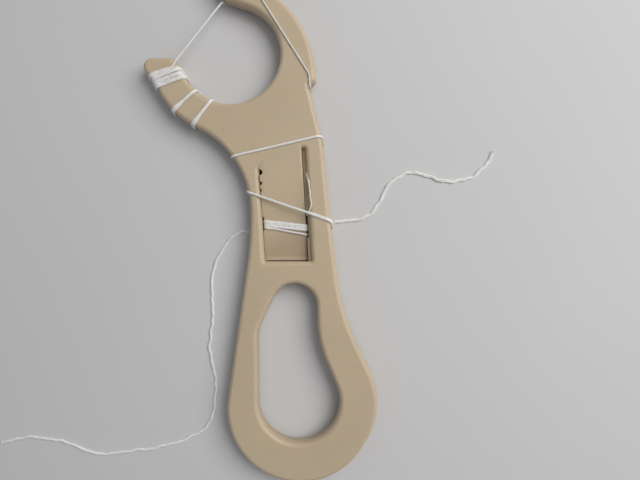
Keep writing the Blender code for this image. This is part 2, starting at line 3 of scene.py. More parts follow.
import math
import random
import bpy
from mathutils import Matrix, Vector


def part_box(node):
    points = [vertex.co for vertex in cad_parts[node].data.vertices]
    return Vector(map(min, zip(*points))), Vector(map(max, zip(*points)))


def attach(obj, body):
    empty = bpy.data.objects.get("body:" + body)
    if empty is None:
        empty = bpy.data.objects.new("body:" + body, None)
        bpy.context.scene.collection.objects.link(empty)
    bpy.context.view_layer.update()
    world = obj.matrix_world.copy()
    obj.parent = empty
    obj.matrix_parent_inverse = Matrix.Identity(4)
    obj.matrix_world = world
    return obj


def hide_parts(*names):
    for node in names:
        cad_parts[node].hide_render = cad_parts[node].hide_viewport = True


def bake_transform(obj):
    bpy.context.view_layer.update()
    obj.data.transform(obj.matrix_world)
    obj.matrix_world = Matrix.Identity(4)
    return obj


bl_info = {
    "name": "Floss Holder",
    "version": (1, 0, 0),
    "blender": (4, 5, 0),
    "location": "3D View > Sidebar > Floss Holder",
    "description": "Dresses the moulded holder and the floss wound on it",
    "category": "Add Mesh",
}

import bmesh
import bpy
from mathutils import Matrix, Vector, noise

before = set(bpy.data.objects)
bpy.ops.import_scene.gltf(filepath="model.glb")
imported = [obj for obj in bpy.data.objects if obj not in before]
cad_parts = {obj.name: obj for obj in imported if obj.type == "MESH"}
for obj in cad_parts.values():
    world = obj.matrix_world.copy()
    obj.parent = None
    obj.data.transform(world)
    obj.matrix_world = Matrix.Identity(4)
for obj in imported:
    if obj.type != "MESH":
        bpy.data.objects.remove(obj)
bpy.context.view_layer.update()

MM = 0.001

# Plate: the lowest and the highest corner of its box, the height of its middle, its edges' radius
PLATE_LOW, PLATE_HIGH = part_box("holder_body")
PLATE_MIDDLE = (PLATE_LOW.z + PLATE_HIGH.z) / 2
EDGE_RADIUS = 1.1 * MM

# Distances at which points are joined, and angles in degrees up to which faces shade as one
PLASTIC_WELD, FIBRE_WELD = 0.001 * MM, 0.0005 * MM
PLASTIC_SMOOTH, FIBRE_SMOOTH = 35, 60

# Painted shade, brownish and darker deeper under the face: the depths under the face between which
# it sets in, and its tint
LOW_SHADE_DEPTHS = (1.7 * MM, 2.5 * MM)
LOW_SHADE_COLOUR = (0.8, 0.785, 0.775, 1.0)

# Middle of the fork's round mouth, and how far to the right the neck's middle lies
FORK = Vector((-7.3, 40.95)) * MM
NECK_MIDDLE = 6.0 * MM

# The solid tongue: its size, the middle of its root, its end, and its angles
TONGUE_WIDTH = 9.4 * MM
TONGUE_THICKNESS = 1.4 * MM
TONGUE_ROOT = Vector((5.1, 15.8)) * MM
TONGUE_END_Y = -7.85 * MM
TONGUE_LEAN = math.radians(3.4)
ROOT_SLANT = math.radians(27.4)
TONGUE_SLOPE = math.radians(7.4)
ACROSS = Vector((math.cos(TONGUE_LEAN), math.sin(TONGUE_LEAN)))
DOWN = Vector((math.sin(TONGUE_LEAN), -math.cos(TONGUE_LEAN)))
ROOT_NORMAL = Vector((-math.sin(ROOT_SLANT), math.cos(ROOT_SLANT)))

# The tongue's skin: its squares across and along, how far it runs into the plate and past the
# solid's end, how far its face lies under the plate's, the length of the bend at its root and the
# slope after that, the raised lip at its end, and the bevel of its edges
TONGUE_GRID = (18, 170)
TONGUE_BURIED = 2.6 * MM
END_STRETCH = 0.3 * MM
FACE_INSET = 0.012 * MM
BEND_LENGTH, FALL = 4.0 * MM, 0.152
LIP_LENGTH, LIP_RISE = 0.9 * MM, 0.42
CORNER_BEVEL = 0.22 * MM

# Distances in millimetres from the root's middle, up into the plate and down the tongue; the points
# taken from them are not used
BLEND_START, BLEND_END = 0.3, 4.0

# Where the right slit's outer wall lies: sideways from the tongue's middle and down from its root
SLIT_WIDTH = 0.9 * MM
WALL_INNER = TONGUE_WIDTH / 2 + 0.2 * MM
WALL_OUTER = TONGUE_WIDTH / 2 + SLIT_WIDTH + EDGE_RADIUS + 0.05 * MM
WALL_TOP, WALL_BOTTOM = -4 * MM, 25 * MM

# Web on that wall: the depths under the face between which it sets in, how far down it steps back
# for the floss turns and out again, and the gaps that it leaves beside the tongue
WEB_DEPTHS = (1.65 * MM, 1.75 * MM)
WEB_STOPS = ((12.3 * MM, 12.5 * MM), (18.7 * MM, 18.9 * MM))
WEB_GAP, WEB_GAP_BY_TURNS = 0.15 * MM, 0.52 * MM

# Flash in the left slit: its width and raggedness as shares of the widest, its waves a millimetre,
# its holes as how far down and half how long they are in millimetres and how deep as a share, and
# what is left of it in the notch of the floss turns
FLASH_SHARE, FLASH_RAGGED, FLASH_WAVES = 0.98, 0.09, 1.6
FLASH_HOLES = ((2.75, 0.75, 0.85), (5.35, 0.45, 0.6), (7.1, 0.4, 0.35), (14.9, 1.7, 0.62))
NOTCH_FLASH = 0.32 * MM

# Working length on the left arm: the radius and angle of its trapped end, then the angles about
# the fork's middle at which its turns cross the outer and the inner edge
TRAPPED_END = (16.5, 258.0)
LOOSE_LOOPS = ((242.9, 250.0), (225.8, 228.1))
WINDING_STRANDS = 4
WINDING_OUTER = (196.2, 205.0)
WINDING_INNER = (192.4, 208.0)

# The rest of its way: places on the plate's face in millimetres, the angles of the inner and the
# outer edge at the upper turn, and the heights on the neck at which it goes over the edges
WINDING_EXIT = (-20.6, 37.4)
SPAN_LEFT_END = (-20.0, 38.8)
UPPER_TURN = (97.0, 74.0)
ANCHOR_TOP = (11.49, 35.84)
ANCHOR_MOUTH = (11.6, 34.0)
ANCHOR_EDGE = 32.7
UPPER_BAND_LEFT, UPPER_BAND_RIGHT = 16.48, (21.35, 19.33)
LOWER_BAND_LEFT, LOWER_BAND_RIGHT = (8.86, 8.15), (1.25, -0.89)

# Its last stretch, tucked under the neck, and the half turn back into the tail, its radius in
# millimetres
TUCK = Vector((-3.0 * MM, 0.2 * MM, 0))
TURN_BACK = Vector((-0.8 * MM, 0.6 * MM, 0))
TURN_BACK_RADIUS, TURN_BACK_STEPS = 0.6, 6

# Its tail, in millimetres on the table
RIGHT_TAIL = (
    (17.5, 1.0), (20.0, 1.2), (24.1, 2.1), (27.1, 3.8), (29.0, 6.8), (31.2, 10.6), (35.1, 13.0),
    (40.8, 12.4), (44.9, 11.2), (49.6, 11.6), (51.8, 12.4), (54.8, 15.3), (57.1, 18.9),
)

# How far from the corners beside them the pieces of floss meet
SPAN_JOINS = (1.35 * MM, 1.15 * MM)
HEAD_JOIN, BAND_JOIN = 2.65 * MM, 4.15 * MM
RIGHT_TAIL_JOIN, LEFT_TAIL_JOIN = 0.15 * MM, 1.35 * MM

# Clamped length: how far down the tongue's left and right edges its turns lie, and how far down it
# goes under the tongue and leaves it, in millimetres; then how far inside the left edge it leaves,
# and the radius of its turns at the edges
TONGUE_TURNS = ((14.3, 16.05), (15.1, 16.75), (15.6, 18.05))
TONGUE_UNDER = 13.4
TONGUE_LEAVE = 16.4
LEAVE_INSET = 1.0 * MM
TURN_RADIUS = 0.3 * MM

# Its short end, on the right rail: sideways and down from the root, and height, in millimetres
FRAYED_END = (
    (5.75, 3.6, 5.3), (5.9, 5.6, 5.42), (6.1, 8.6, 5.52), (6.2, 11.2, 5.6), (5.7, 12.7, 5.45),
    (5.0, 13.3, 3.9),
)

# Its tail, in millimetres on the table
LEFT_TAIL = (
    (-3.2, -1.2), (-4.9, -1.3), (-8.3, -3.7), (-11.2, -7.7), (-12.4, -13.9), (-12.3, -20.7),
    (-12.8, -26.8), (-12.7, -31.1), (-12.0, -35.9), (-11.4, -39.6), (-11.6, -42.0), (-12.0, -44.8),
    (-14.1, -49.3), (-17.7, -51.8), (-23.8, -53.8), (-32.0, -55.0), (-39.3, -55.8), (-43.4, -55.0),
    (-49.5, -52.6), (-56.4, -51.8), (-60.5, -52.2), (-64.6, -53.2),
)

# Floss: the distance between the points of its way, how far its middle lies from what it is wound
# on, a fibre's radius as a share of its width, and the inner fibres' ring as a share of the outer
SPACING = 0.36 * MM
STRAND_REACH = 0.22 * MM
THREAD_SHARE = 0.165
INNER_RING = 0.42

# Unevenness of the fibres: waves a metre in how loosely they lie and in their twist, how far the
# twist strays in radians, and how much wider a fraying end spreads
LOOSE_WAVES, TWIST_WAVES, TWIST_UNEVEN = 420, 200, 0.35
FRAY_SPREAD = 1.6

# Kinks of loose floss: their swing, the length in which they set in, how many coarse and fine
# waves they have a metre, and the fine ones' share
KINK, KINK_FADE = 0.5 * MM, 4 * MM
KINK_WAVES, FINE_KINK_WAVES, FINE_KINK_SHARE = 170, 520, 0.6

# How far before and behind a point its bend is judged, and the pull of the level face against it
BEND_REACH = 1.6 * MM
FACE_PULL = 0.25 * MM

# Widths and thicknesses of the floss along its way, as shares of the loose floss's width
LOOPS, FAN, WINDING, SPAN = (1.2, 0.75), (2.1, 0.7), (1.75, 0.75), (0.75, 0.68)
HEAD_TURN, ARM_STRAND, NECK_BANDS = (0.85, 0.7), (0.68, 0.64), (0.95, 0.75)
BAND_END, TAIL, THIN_TAIL = (1.4, 0.85), (1.35, 1.1), (1.12, 0.95)
FRAY, RIBBON, LONE_TURN = (0.56, 0.55), (1.65, 0.75), (0.8, 0.7)

# Points by which a fan reaches to both sides of its corner, the span and the band's wide end start
# before theirs, and the kinks of the short end stop before the tongue
FAN_POINTS, SPAN_LEAD, BAND_END_LEAD, FRAY_TRIM = 6, 2, 16, 12

# Seeds of the two lengths, and how long their first and last ends fray
WORKING_SEED, CLAMPED_SEED = 3, 8
WORKING_FRAYS, CLAMPED_FRAYS = (0.0, 2.5 * MM), (9 * MM, 2 * MM)

# Tints of the light
ROOM_TINT = (0.93, 0.95, 1.0, 1.0)
WINDOW_TINT = (1.0, 0.985, 0.96)

# Stage, in metres: half the paper's width, the window's size, its place and what it faces, and the
# camera's place and the nearest that it sees
PAPER_REACH = 3.0
WINDOW_SIZE = 0.36
WINDOW_PLACE, WINDOW_AIM = (0.28, 0.15, 0.35), (0.01, 0.0, 0.0)
CAMERA_PLACE = (14.08 * MM, -3.27 * MM, 118.25 * MM)
CLIP_START = 0.001

# Camera's focal length and sensor, in millimetres
LENS, SENSOR = 27.0, 36.0


class HolderLook(bpy.types.PropertyGroup):
    colour: bpy.props.FloatVectorProperty(
        name="Plastic colour",
        description="Colour of the moulded plastic",
        default=(0.575, 0.468, 0.324),
        subtype="COLOR",
        size=3,
        min=0,
        max=1,
    )
    flash: bpy.props.FloatProperty(
        name="Flash",
        description="Width of the ragged flash in the left slit",
        default=0.88 * MM,
        min=0,
        max=SLIT_WIDTH,
        unit="LENGTH",
    )


class FlossLook(bpy.types.PropertyGroup):
    colour: bpy.props.FloatVectorProperty(
        name="Floss colour",
        description="Colour of the floss",
        default=(0.95, 0.93, 0.895),
        subtype="COLOR",
        size=3,
        min=0,
        max=1,
    )
    width: bpy.props.FloatProperty(
        name="Floss width",
        description="Thickness of the twisted bundle",
        default=0.56 * MM,
        min=0.3 * MM,
        max=1.2 * MM,
        unit="LENGTH",
    )
    pitch: bpy.props.FloatProperty(
        name="Twist pitch",
        description="Length of floss in which its fibres turn once",
        default=11 * MM,
        min=1 * MM,
        max=30 * MM,
        unit="LENGTH",
    )
    fibres: bpy.props.IntProperty(
        name="Fibres",
        description="Fibres that make up the bundle",
        default=12,
        min=3,
        max=20,
    )
    looseness: bpy.props.FloatProperty(
        name="Looseness",
        description="How unevenly the fibres lie in the bundle",
        default=0.24,
        min=0,
        max=1,
    )


class StageLook(bpy.types.PropertyGroup):
    paper: bpy.props.FloatVectorProperty(
        name="Paper colour",
        description="Colour of the sheet under the holder",
        default=(0.64, 0.635, 0.635),
        subtype="COLOR",
        size=3,
        min=0,
        max=1,
    )
    window: bpy.props.FloatProperty(
        name="Window light",
        description="Power of the soft light from the right",
        default=1.75,
        min=0,
        max=100,
        unit="POWER",
    )
    room: bpy.props.FloatProperty(
        name="Room light",
        description="Strength of the light from all round",
        default=0.3,
        min=0,
        max=3,
    )


# Materials


def new_material(name):
    material = bpy.data.materials.new(name)
    material.use_nodes = True
    tree = material.node_tree
    return material, tree.nodes, tree.links, tree.nodes["Principled BSDF"]


def object_noise(nodes, links, scale, detail, stretch=(1, 1, 1)):
    """Noise in the piece's own coordinates, its scale in features a metre."""
    place = nodes.new("ShaderNodeTexCoord")
    mapping = nodes.new("ShaderNodeMapping")
    mapping.inputs["Scale"].default_value = stretch
    grain = nodes.new("ShaderNodeTexNoise")
    grain.inputs["Scale"].default_value = scale
    grain.inputs["Detail"].default_value = detail
    links.new(place.outputs["Object"], mapping.inputs["Vector"])
    links.new(mapping.outputs["Vector"], grain.inputs["Vector"])
    return grain.outputs["Fac"]


def ramp(nodes, links, factor, stops):
    """Colours for the factor, from stops of a position and a colour."""
    spread = nodes.new("ShaderNodeValToRGB")
    band = spread.color_ramp
    while len(band.elements) < len(stops):
        band.elements.new(0.5)
    for element, (position, colour) in zip(band.elements, stops):
        element.position = position
        element.color = colour
    links.new(factor, spread.inputs["Fac"])
    return spread.outputs["Color"]


def patches(nodes, links, scale, detail, stops):
    """Noise that takes its colours from the stops."""
    return ramp(nodes, links, object_noise(nodes, links, scale, detail), stops)


def grey(value):
    return (value, value, value, 1.0)


def tinted(colour, amount):
    """The colour made lighter or darker by the amount."""
    return (*[min(1.0, part * amount) for part in colour], 1.0)


def bump(nodes, links, shader, height, strength, distance):
    raised = nodes.new("ShaderNodeBump")
    raised.inputs["Strength"].default_value = strength
    raised.inputs["Distance"].default_value = distance
    links.new(height, raised.inputs["Height"])
    links.new(raised.outputs["Normal"], shader.inputs["Normal"])


def mixed(nodes, links, factor, first, second, mode="MIX"):
    blend = nodes.new("ShaderNodeMix")
    blend.data_type = "RGBA"
    blend.blend_type = mode
    blend.inputs["Factor"].default_value = factor
    links.new(first, blend.inputs["A"])
    links.new(second, blend.inputs["B"])
    return blend.outputs["Result"]


def painted_low_shade(nodes, links):
    """Painted brownish shade that darkens the plastic deeper under the face, in the window and low
    on the walls.
    """
    place = nodes.new("ShaderNodeTexCoord")
    axes = nodes.new("ShaderNodeSeparateXYZ")
    depth = nodes.new("ShaderNodeMapRange")
    depth.inputs["From Min"].default_value = PLATE_HIGH.z - LOW_SHADE_DEPTHS[1]
    depth.inputs["From Max"].default_value = PLATE_HIGH.z - LOW_SHADE_DEPTHS[0]
    links.new(place.outputs["Object"], axes.inputs["Vector"])
    links.new(axes.outputs["Z"], depth.inputs["Value"])
    return ramp(nodes, links, depth.outputs["Result"], ((0.0, LOW_SHADE_COLOUR), (1.0, grey(1.0))))


def moulded_ivory(colour):
    material, nodes, links, shader = new_material("moulded_ivory")
    stops = (
        (0.3, tinted(colour, 0.955)),
        (0.55, tinted(colour, 1.0)),
        (0.75, tinted(colour, 1.03)),
    )
    cloudy = patches(nodes, links, 70, 4, stops)
    # The base colour is darkened by painted shade deeper under the face
    body = mixed(nodes, links, 1.0, cloudy, painted_low_shade(nodes, links), "MULTIPLY")
    flecks = patches(nodes, links, 2200, 2, ((0.28, grey(0.93)), (0.42, grey(1.0))))
    links.new(mixed(nodes, links, 1.0, body, flecks, "MULTIPLY"), shader.inputs["Base Color"])
    handled = patches(nodes, links, 160, 5, ((0.3, grey(0.36)), (0.75, grey(0.52))))
    links.new(handled, shader.inputs["Roughness"])
    grain = object_noise(nodes, links, 2600, 3)
    scuffs = object_noise(nodes, links, 260, 5, (14, 1, 1))
    relief = mixed(nodes, links, 0.35, grain, scuffs)
    bump(nodes, links, shader, relief, 0.22, 0.03 * MM)
    shader.inputs["Subsurface Weight"].default_value = 0.5
    shader.inputs["Subsurface Radius"].default_value = (1.0, 0.8, 0.45)
    shader.inputs["Subsurface Scale"].default_value = 1.2 * MM
    shader.inputs["IOR"].default_value = 1.49
    return material


def waxed_fibre(colour):
    material, nodes, links, shader = new_material("waxed_fibre")
    stops = ((0.3, tinted(colour, 0.95)), (0.6, tinted(colour, 1.02)))
    links.new(patches(nodes, links, 900, 4, stops), shader.inputs["Base Color"])
    waxy = patches(nodes, links, 1500, 2, ((0.3, grey(0.34)), (0.7, grey(0.52))))
    links.new(waxy, shader.inputs["Roughness"])
    bump(nodes, links, shader, object_noise(nodes, links, 5000, 2), 0.12, 0.02 * MM)
    shader.inputs["Subsurface Weight"].default_value = 0.3
    shader.inputs["Subsurface Radius"].default_value = (1.0, 0.95, 0.9)
    shader.inputs["Subsurface Scale"].default_value = 0.3 * MM
    shader.inputs["Sheen Weight"].default_value = 0.25
    shader.inputs["Sheen Roughness"].default_value = 0.4
    return material


def plain_paper(colour):
    material, nodes, links, shader = new_material("plain_paper")
    stops = ((0.35, tinted(colour, 0.985)), (0.65, tinted(colour, 1.01)))
    links.new(patches(nodes, links, 9, 3, stops), shader.inputs["Base Color"])
    bump(nodes, links, shader, object_noise(nodes, links, 1800, 5), 0.15, 0.02 * MM)
    shader.inputs["Roughness"].default_value = 0.75
    shader.inputs["Specular IOR Level"].default_value = 0.2
    return material


# Shapes shared by the pieces


def merged_copy(node):
    """The solid's mesh with its loose triangles joined, as a new bmesh."""
    shape = bmesh.new()
    shape.from_mesh(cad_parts[node].data)
    bmesh.ops.remove_doubles(shape, verts=shape.verts, dist=PLASTIC_WELD)
    return shape


def new_piece(name, shape, material, body, node, smooth=PLASTIC_SMOOTH):
    """Makes the shape an object that replaces the node and rides on the body, if one is given."""
    mesh = bpy.data.meshes.new(name)
    shape.to_mesh(mesh)
    shape.free()
    mesh.materials.append(material)
    mesh.shade_smooth()
    mesh.set_sharp_from_angle(angle=math.radians(smooth))
    piece = bpy.data.objects.new(name, mesh)
    bpy.context.scene.collection.objects.link(piece)
    if body:
        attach(piece, body)
    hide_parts(node)
    return piece


def even_normals(mesh):
    """Shades flat faces and upright walls evenly, so that only the round edges curve."""
    around = [[] for _ in mesh.vertices]
    for face in mesh.polygons:
        for index in face.vertices:
            around[index].append(face)
    alike_above = math.cos(math.radians(PLASTIC_SMOOTH))
    level_above, upright_below = 0.9995, 0.2
    normals = []
    for face in mesh.polygons:
        for index in face.vertices:
            nearby = around[index]
            alike = [other for other in nearby if other.normal.dot(face.normal) > alike_above]
            level = [other for other in alike if abs(other.normal.z) > level_above]
            upright = [other for other in alike if abs(other.normal.z) < upright_below]
            total = Vector()
            for other in level or upright or alike:
                total += other.normal * other.area
            normals.append(total.normalized())
    mesh.normals_split_custom_set(normals)


def plate_outline():
    """The plate's outer edge at half its thickness, as points anticlockwise."""
    shape = merged_copy("holder_body")
    bmesh.ops.bisect_plane(
        shape,
        geom=shape.verts[:] + shape.edges[:] + shape.faces[:],
        plane_co=(0, 0, PLATE_MIDDLE),
        plane_no=(0, 0, 1),
        clear_inner=True,
        clear_outer=True,
    )
    first = min(shape.verts, key=lambda vert: vert.co.y)
    loop, edge, vert = [first.co.xy.copy()], first.link_edges[0], first
    while True:
        vert = edge.other_vert(vert)
        if vert == first:
            break
        loop.append(vert.co.xy.copy())
        edge = next(other for other in vert.link_edges if other != edge)
    shape.free()
    area = sum(a.x * b.y - b.x * a.y for a, b in zip(loop, loop[1:] + loop[:1]))
    return loop if area > 0 else loop[::-1]


def plate_edge(outline, origin, heading, crossing=0):
    """The point where a line from the origin crosses the outline, and the normal there."""
    parallel = 1e-15
    hits = []
    for first, second in zip(outline, outline[1:] + outline[:1]):
        along = second - first
        slope = heading.x * along.y - heading.y * along.x
        if abs(slope) < parallel:
            continue
        offset = first - origin
        distance = (offset.x * along.y - offset.y * along.x) / slope
        share = (offset.x * heading.y - offset.y * heading.x) / slope
        if distance > 0 and 0 <= share < 1:
            normal = Vector((along.y, -along.x)).normalized()
            hits.append((distance, first + along * share, normal))
    hits.sort(key=lambda hit: hit[0])
    return hits[crossing][1:]


# Floss routes


def rounded_route(corners, radius, steps=7, longest=0.48):
    """The corners rounded to the radius, or less where that takes up too much of a stretch."""
    route = [corners[0]]
    for before, corner, after in zip(corners, corners[1:], corners[2:]):
        back, ahead = before - corner, after - corner
        half = back.angle(ahead) / 2
        reach = min(radius / math.tan(half), longest * min(back.length, ahead.length))
        start = corner + back.normalized() * reach
        end = corner + ahead.normalized() * reach
        centre = corner + (start + end - corner * 2).normalized() * (reach / math.cos(half))
        first, last = start - centre, end - centre
        for number in range(steps):
            route.append(centre + first.slerp(last, number / (steps - 1)) * first.length)
    route.append(corners[-1])
    return route


def smooth_route(knots, steps=16):
    """A smooth curve through all the knots."""
    knots = [knots[0] * 2 - knots[1]] + knots + [knots[-1] * 2 - knots[-2]]
    route = []
    for first, second, third, fourth in zip(knots, knots[1:], knots[2:], knots[3:]):
        for number in range(steps):
            t = number / steps
            point = second * 2 + (third - first) * t
            point += (first * 2 - second * 5 + third * 4 - fourth) * t**2
            point += (second * 3 - first - third * 3 + fourth) * t**3
            route.append(point / 2)
    route.append(knots[-2])
    return route


def respaced(route):
    """Points evenly spaced along the route, and its end if that isn't too near the last of them."""
    too_near = SPACING * 0.3
    points = [route[0]]
    left = SPACING
    for first, second in zip(route, route[1:]):
        length = (second - first).length
        place = left
        while place <= length:
            points.append(first.lerp(second, place / length))
            place += SPACING
        left = place - length
    if (points[-1] - route[-1]).length > too_near:
        points.append(route[-1])
    return points


def nearest(points, place, start=0):
    return min(range(start, len(points)), key=lambda index: (points[index] - place).length)


def strand_end(corner, toward, distance):
    return corner + (toward - corner).normalized() * distance


def between(ends, share):
    return ends[0] + (ends[1] - ends[0]) * share


class Winder:
    """Corners of the floss round the plate, for a strand whose middle lies the reach off it."""

    def __init__(self, reach):
        self.reach = reach
        self.front = PLATE_HIGH.z + reach
        self.back = PLATE_LOW.z - reach
        self.outline = plate_outline()

    def corner(self, edge, height):
        """The strand's place off an edge point, at a height."""
        point, normal = edge
        return (point + normal * self.reach).to_3d() + Vector((0, 0, height))

    def arm(self, degrees, outer):
        """An edge point of an arm, by its angle about the fork's middle."""
        heading = Vector((math.cos(math.radians(degrees)), math.sin(math.radians(degrees))))
        return plate_edge(self.outline, FORK, heading, 1 if outer else 0)

    def neck(self, height, right):
        """An edge point of the neck, by its height in millimetres."""
        heading = Vector((1.0, 0.0)) if right else Vector((-1.0, 0.0))
        return plate_edge(self.outline, Vector((NECK_MIDDLE, height * MM)), heading)

    def over(self, first, second, downward):
        """Two corners over the plate's edge, from its face to its back or the other way."""
        heights = (self.front, self.back) if downward else (self.back, self.front)
        return [self.corner(first, heights[0]), self.corner(second, heights[1])]

    def left_arm(self):
        """Corners of the turns on the left arm, from the trapped end on."""
        radius, degrees = TRAPPED_END
        angle = math.radians(degrees)
        start = FORK + Vector((math.cos(angle), math.sin(angle))) * radius * MM
        corners = [start.to_3d() + Vector((0, 0, self.back))]
        turns = list(LOOSE_LOOPS)
        for number in reversed(range(WINDING_STRANDS)):
            share = number / (WINDING_STRANDS - 1)
            turns.append((between(WINDING_OUTER, share), between(WINDING_INNER, share)))
        for outer_degrees, inner_degrees in turns[:-1]:
            outer, inner = self.arm(outer_degrees, True), self.arm(inner_degrees, False)
            corners += self.over(outer, outer, False) + self.over(inner, inner, True)
        outer = self.arm(turns[-1][0], True)
        return corners + self.over(outer, outer, False)

    def right_arm(self):
        """Corners of the turn behind the upper prong."""
        outer = self.arm(UPPER_TURN[1], True)
        start = self.corner(self.arm(UPPER_TURN[0], False), self.back)
        return [start] + self.over(outer, outer, False)

    def level(self, place):
        """A place on the plate's face, in millimetres."""
        return Vector((place[0] * MM, place[1] * MM, self.front))


def working_length(winder):
    """The wound length of floss with its right tail, and the points where its pieces meet."""
    span_left = winder.level(SPAN_LEFT_END)
    span_right = winder.corner(winder.arm(UPPER_TURN[0], False), PLATE_MIDDLE)
    right = winder.right_arm()
    slit_top = winder.level(ANCHOR_TOP)
    mouth, upper_left = winder.neck(ANCHOR_EDGE, True), winder.neck(UPPER_BAND_LEFT, False)

    # From the trapped end over the left arm, the fork, the upper prong and the anchor slit
    corners = winder.left_arm() + [winder.level(WINDING_EXIT), span_left, span_right]
    corners += right + [slit_top, winder.level(ANCHOR_MOUTH)]
    corners += winder.over(mouth, mouth, True)

    # Behind the neck, twice across its face, and under it
    behind = strand_end(corners[-1], winder.corner(upper_left, winder.back), BAND_JOIN)
    corners += winder.over(upper_left, upper_left, False)
    for heights, right_side in (
        (UPPER_BAND_RIGHT, True), (LOWER_BAND_LEFT, False), (LOWER_BAND_RIGHT, True),
    ):
        first, second = [winder.neck(height, right_side) for height in heights]
        corners += winder.over(first, second, right_side)
    tuck = corners[-1] + TUCK
    corners.append(tuck)
    route = rounded_route(corners, EDGE_RADIUS + winder.reach)
    bend = tuck + TURN_BACK
    for number in range(TURN_BACK_STEPS + 1):
        angle = -math.pi / 2 - math.pi * number / TURN_BACK_STEPS
        turn = Vector((math.cos(angle), math.sin(angle), 0)) * TURN_BACK_RADIUS * MM
        route.append(Vector((*(bend + turn).xy, winder.reach)))
    knots = [route[-1]] + [Vector((x * MM, y * MM, winder.reach)) for x, y in RIGHT_TAIL]
    route += smooth_route(knots)[1:]
    joins = [
        strand_end(span_left, span_right, SPAN_JOINS[0]),
        strand_end(span_right, span_left, SPAN_JOINS[1]),
        strand_end(right[-1], slit_top, HEAD_JOIN),
        behind,
        tuck - Vector((RIGHT_TAIL_JOIN, 0, 0)),
    ]
    return route, joins


def plan_point(sideways, down):
    """A point of the plan by its place on the tongue: across it and down it from the root."""
    return TONGUE_ROOT + ACROSS * sideways + DOWN * down


def tongue_place():
    """The solid tongue's place and slope: its X along the root, its Y up the slope."""
    lift = Matrix.Translation((*TONGUE_ROOT, PLATE_HIGH.z - TONGUE_THICKNESS / 2))
    return lift @ Matrix.Rotation(ROOT_SLANT, 4, "Z") @ Matrix.Rotation(TONGUE_SLOPE, 4, "X")


def tongue_point(sideways, down, height):
    """A point by its place on the tongue: across it, down it, and above its middle."""
    flat = ACROSS * sideways + DOWN * down
    root_line = Vector((math.cos(ROOT_SLANT), math.sin(ROOT_SLANT)))
    up_slope = flat.dot(ROOT_NORMAL) / math.cos(TONGUE_SLOPE)
    return tongue_place() @ Vector((flat.dot(root_line), up_slope, height))


def clamped_length(reach):
    """The length clamped round the tongue with its left tail, and the point where they meet."""
    side, level = TONGUE_WIDTH / 2 + reach, TONGUE_THICKNESS / 2 + reach
    frayed = [
        Vector((*plan_point(sideways * MM, down * MM), height * MM))
        for sideways, down, height in FRAYED_END
    ]
    under = tongue_point(TONGUE_WIDTH / 4, TONGUE_UNDER * MM, -level)
    start = smooth_route(frayed + [tongue_point(side, TONGUE_UNDER * MM, -level), under])
    corners = [under]
    for left, right in TONGUE_TURNS:
        corners.append(tongue_point(-side - NOTCH_FLASH, left * MM, -level))
        corners.append(tongue_point(-side - NOTCH_FLASH, left * MM, level))
        corners.append(tongue_point(side, right * MM, level))
        corners.append(tongue_point(side, right * MM, -level))

    # From the tongue's underside the strand runs straight to the window's lower left edge, and
    # round it down to the table.
    leave = tongue_point(LEAVE_INSET - TONGUE_WIDTH / 2, TONGUE_LEAVE * MM, -level)
    radius = EDGE_RADIUS + reach
    over = LEAVE_INSET + SLIT_WIDTH + EDGE_RADIUS
    drop = PLATE_LOW.z + EDGE_RADIUS - leave.z
    distance = math.hypot(over, drop)
    slope = math.atan2(drop, over) - math.asin(radius / distance)
    heading = Vector((*(ACROSS * -math.cos(slope)), math.sin(slope)))
    touch = leave + heading * math.sqrt(distance**2 - radius**2)
    middle = leave + Vector((*(ACROSS * -over), drop))
    first, last = touch - middle, Vector((0, 0, -1))
    steps = 5
    arc = [middle + first.slerp(last, number / steps) * radius for number in range(1, steps + 1)]
    route = start[:-1] + rounded_route(corners + [leave, touch], TURN_RADIUS + reach) + arc
    knots = [arc[-1]] + [Vector((x * MM, y * MM, reach)) for x, y in LEFT_TAIL]
    route += smooth_route(knots)[1:]
    return route, leave + heading * LEFT_TAIL_JOIN


def kinked(points, start, end):
    """Small sideways kinks along a loose part of the floss, from the start index to the end."""
    places = list(points)
    for index in range(start + 1, end):
        side = (points[index + 1] - points[index - 1]).cross(Vector((0, 0, 1))).normalized()
        along = (index - start) * SPACING
        swing = noise.noise(Vector((along * KINK_WAVES, start, 1)))
        swing += FINE_KINK_SHARE * noise.noise(Vector((along * FINE_KINK_WAVES, start, 5)))
        places[index] = points[index] + side * swing * KINK * min(1.0, along / KINK_FADE)
    return places


def form_along(marks, forms, easing=4):
    """Gives each point its stretch's width and thickness, which change smoothly at the marks."""

    def form(index):
        width, thickness = forms[0]
        for mark, (next_width, next_thickness) in zip(marks, forms[1:]):
            share = min(1.0, max(0.0, (index - mark + easing) / (2 * easing)))
            width += (next_width - width) * share
            thickness += (next_thickness - thickness) * share
        return width, thickness

    return form


def outward_directions(points):
    """Directions away from what each point of a wound strand lies on."""
    span = round(BEND_REACH / SPACING)
    directions = []
    for index, point in enumerate(points):
        before = points[max(0, index - span)]
        after = points[min(len(points) - 1, index + span)]
        bent = point - (before + after) / 2
        if index < span or index + span >= len(points):
            bent = Vector()
        upright = FACE_PULL if point.z > PLATE_MIDDLE else -FACE_PULL
        directions.append((bent + Vector((0, 0, upright))).normalized())
    return directions


